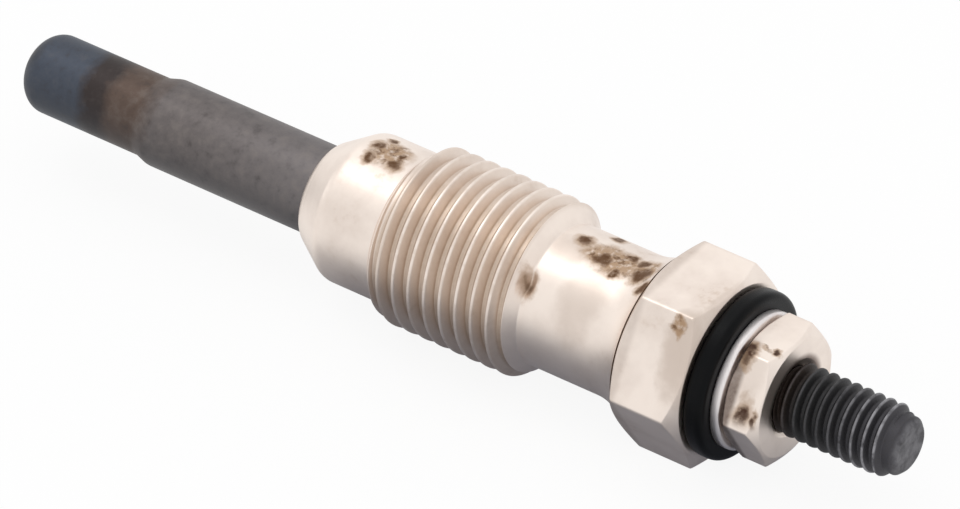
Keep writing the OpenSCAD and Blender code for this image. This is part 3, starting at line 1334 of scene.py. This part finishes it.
@dataclass
class HeaterCoil:
    """Round wire wound to a helix, with a bend and a straight end at each side."""

    node: str
    start: float
    turns: int
    pitch: float
    wire_out: float
    coil_out: float = 0.9
    lead_run: float = 0.5
    bend_turn: float = math.pi / 2
    bend_slope: float = 1.0
    first_angle: float = -math.pi / 2
    sides: int = 14
    steps_per_turn: int = 40
    bend_steps: int = 12

    @property
    def bend_rise(self) -> float:
        """Height of one bend."""
        return (self.bend_slope + self.pitch / 2) / 2

    @property
    def run(self) -> float:
        """Length of the coil along the axis."""
        winding = self.turns - 2 * self.bend_turn / math.tau
        return 2 * self.lead_run + 2 * self.bend_rise + self.pitch * winding

    def course(self) -> np.ndarray:
        """Course of the wire: end, bend, helix, bend, end.

        Returns:
            Rows of angle, height, angle gained and height gained.
        """
        v = np.arange(self.bend_steps) / self.bend_steps
        slope_loss = self.bend_slope - self.pitch / 2
        bend = np.stack([
            self.bend_turn * v**2, self.lead_run + self.bend_slope * v - slope_loss * v**2 / 2,
            2 * self.bend_turn * v, self.bend_slope - slope_loss * v,
        ], axis=1)
        full = math.tau * self.turns
        winding = full - 2 * self.bend_turn
        turn = np.linspace(0, winding, round(winding / math.tau * self.steps_per_turn) + 1)
        helix = np.stack([
            self.bend_turn + turn, self.lead_run + self.bend_rise + self.pitch * turn / math.tau,
            np.full_like(turn, math.tau), np.full_like(turn, self.pitch),
        ], axis=1)
        back = bend[::-1] * [-1, -1, 1, 1] + [full, self.run, 0, 0]
        ends = np.array([[0, 0, 0, self.bend_slope], [full, self.run, 0, self.bend_slope]])
        return np.concatenate([ends[:1], bend, helix, back, ends[1:]])

    def build(self) -> Piece:
        """Sweeps the round wire along its course.

        Returns:
            The piece.
        """
        angle, height, turned, climbed = self.course().T
        angle = angle + self.first_angle
        nothing = np.zeros_like(angle)
        outward = np.stack([nothing, np.cos(angle), np.sin(angle)], axis=1)
        side = np.stack([nothing, -np.sin(angle), np.cos(angle)], axis=1)
        swept = turned * self.coil_out
        upward = np.array([1.0, 0, 0]) * swept[:, None] - side * climbed[:, None]
        upward /= np.hypot(swept, climbed)[:, None]
        centre = place(self.start + height, self.coil_out, angle)
        corners = even_angles(self.sides)[None, :, None]
        ring = outward[:, None] * np.cos(corners) + upward[:, None] * np.sin(corners)
        points = (centre[:, None] + ring * self.wire_out * MM).reshape(-1, 3)
        here = np.arange(self.sides)
        following = (here + 1) % self.sides
        faces: list[list[int]] = []
        last = (len(angle) - 1) * self.sides
        for low in range(0, last, self.sides):
            high = low + self.sides
            faces += np.stack([low + here, high + here, high + following, low + following], axis=1).tolist()
        caps = [here.tolist(), (last + here[::-1]).tolist()]
        return new_piece(f"{self.node}_wound", points.tolist(), faces + caps, len(faces))

    def dress(self, piece: Piece) -> Piece:
        """Gives the wire its drawn finish."""
        finish = replace(DRAWN_WIRE, name=f"resistance_wire_{self.node}")
        return settle(piece, finish.material(), Slot.RESISTANCE_WIRE, self.node)


@dataclass
class HeaterInside:
    """Powder and seals inside the plug, kept as the solids they are."""

    powder: tuple[str, ...] = ("magnesia_fill",)
    seals: tuple[str, ...] = ("sheath_seal", "o_ring")

    def dress(self) -> None:
        """Gives each solid its finish."""
        for nodes, finish in ((self.powder, PRESSED_POWDER), (self.seals, SEAL_RUBBER)):
            material = finish.material()
            for node in nodes:
                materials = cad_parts[node].data.materials
                materials.clear()
                materials.append(material)
                LOG.info("dressed the solid %s", node)


# Studio


@dataclass(frozen=True)
class Lamp:
    """Soft square lamp that looks at the plug; its size and distance are metres."""

    name: str
    toward: Triple
    size: float
    power: float
    distance: float = 0.6

    def hang(self) -> None:
        """Hangs the lamp."""
        data = bpy.data.lights.new(self.name, "AREA")
        data.shape, data.size, data.energy = "SQUARE", self.size, self.power
        toward = Vector(self.toward).normalized()
        lamp = put(self.name, data)
        lamp.location = toward * self.distance
        lamp.rotation_euler = toward.to_track_quat("Z", "Y").to_euler()


@dataclass
class Studio:
    """Pale floor, soft light and the camera; the floor's size and the camera's clipping are metres."""

    azimuth: float = math.radians(35.284)
    elevation: float = math.radians(38.23)
    distance: float = 442.366
    aim_station: float = 30.0
    aim_right: float = -0.3365
    aim_up: float = 0.4177
    lens: float = 315.2
    sensor: float = 36.0
    clip: tuple[float, float] = (0.01, 20.0)
    sky: float = 0.88
    floor_size: float = 6.0
    floor_tone: Triple = (0.96, 0.96, 0.96)
    floor_glow: float = 0.9
    white: Triple = (1, 1, 1)
    shade: Triple = (0.18, 0.188, 0.222)
    shade_start: float = 24.5
    shade_end: float = 45.5
    shade_full: float = 3.0
    shade_reach: float = 32.0
    shade_tip_taper: float = 2.8
    shade_stud_taper: float = 2.0
    shade_far_taper: float = 4.0
    lamps: tuple[Lamp, ...] = (
        Lamp("softbox", (-0.45, 0.08, 0.89), 0.6, 0.27),
        Lamp("highlight", (-0.45, -0.06, 0.89), 0.2, 0.22),
        Lamp("front_fill", (-0.98, -0.1, 0.14), 0.3, 0.065),
    )

    def camera(self) -> None:
        """Sets the camera where the photograph was taken from."""
        level = math.cos(self.elevation)
        right = Vector((math.cos(self.azimuth), math.sin(self.azimuth), 0))
        back = Vector((right.y * level, -right.x * level, math.sin(self.elevation)))
        up = back.cross(right)
        aim = Vector((self.aim_station - Plan.half_length, 0, Plan.axis_height))
        aim += self.aim_right * right + self.aim_up * up
        data = bpy.data.cameras.new("camera")
        data.lens, data.sensor_width, data.sensor_fit = self.lens, self.sensor, "HORIZONTAL"
        data.clip_start, data.clip_end = self.clip
        eye = put("camera", data)
        eye.location = (aim + back * self.distance) * MM
        eye.rotation_euler = back.to_track_quat("Z", "Y").to_euler()
        bpy.context.scene.camera = eye

    def floor(self) -> None:
        """Lays the floor, white to the camera but for the plug's shadow."""
        half = self.floor_size / 2
        corners = [(-half, -half, 0), (half, -half, 0), (half, half, 0), (-half, half, 0)]
        floor = new_piece("floor", corners, [(0, 1, 2, 3)], smooth=0)
        bench = NodeBench(bpy.data.materials.new("floor_white"))
        matt = bench.node("ShaderNodeBsdfDiffuse", inputs={"Color": self.floor_tone})
        white, grey = (
            bench.node("ShaderNodeEmission", inputs={"Color": colour, "Strength": 1.0})
            for colour in (self.white, self.shade)
        )
        seen, gloss = bench.sight()
        glow = bench.node("ShaderNodeMixShader", inputs={0: self._shadow(bench) * gloss, 1: white, 2: grey})
        mixed = bench.node("ShaderNodeMixShader", inputs={0: seen * self.floor_glow, 1: matt, 2: glow})
        bench.node("ShaderNodeOutputMaterial", inputs={"Surface": mixed})
        floor.data.materials.append(bench.owner)

    def _shadow(self, bench: NodeBench) -> Signal:
        """How much of the plug's own shadow lies on the floor, as its gloss shows it.

        Args:
            bench: The floor's node tree.

        Returns:
            The share, 0 to 1.
        """
        along, side, _ = bench.split(bench.node("ShaderNodeTexCoord", output="Object"))
        ahead = ((self.shade_start - Plan.half_length) * MM - along) * self.shade_tip_taper
        behind = (along - (self.shade_end - Plan.half_length) * MM) * self.shade_stud_taper
        beyond = ahead | behind | 0.0
        aside = (side * self.shade_far_taper) | (side * -1)
        away = (beyond * beyond + aside * aside) ** 0.5
        return away.rise(self.shade_reach * MM, self.shade_full * MM)

    def light(self) -> None:
        """Hangs the soft light and sets the pale surroundings."""
        bench = NodeBench(bpy.data.worlds.new("surroundings"))
        seen, _ = bench.sight()
        strength = self.sky + seen * (1 - self.sky)
        sky = bench.node("ShaderNodeBackground", inputs={"Color": self.white, "Strength": strength})
        bench.node("ShaderNodeOutputWorld", inputs={"Surface": sky})
        bpy.context.scene.world = bench.owner
        for lamp in self.lamps:
            lamp.hang()

    def build(self) -> None:
        """Sets up the whole studio."""
        self.camera()
        self.floor()
        self.light()
        bpy.context.scene.view_settings.view_transform = "Standard"


def report(piece: Piece) -> None:
    """Logs one piece and its size."""
    sizes = ", ".join(f"{side / MM:.2f}" for side in piece.dimensions)
    LOG.info("built %s: %d faces, %s mm", piece.name, len(piece.data.polygons), sizes)


def main() -> None:
    """Builds the studio and the plug, piece by piece."""
    logging.basicConfig(level=logging.INFO, format="%(name)s: %(message)s")
    Studio().build()
    heating = HeaterCoil("heating_coil", start=0.9, turns=8, pitch=0.75, wire_out=0.2)
    control = HeaterCoil("control_coil", start=heating.start + heating.run, turns=8, pitch=0.9, wire_out=0.16)
    for assembly in (Housing(), Sheath(), Electrode(), heating, control):
        report(assembly.dress(assembly.build()))
    terminal = Terminal()
    pieces = terminal.build_bush(), terminal.build_washer(), terminal.build_nut()
    terminal.dress(*pieces)
    for piece in pieces:
        report(piece)
    HeaterInside().dress()


if __name__ == "__main__":
    main()
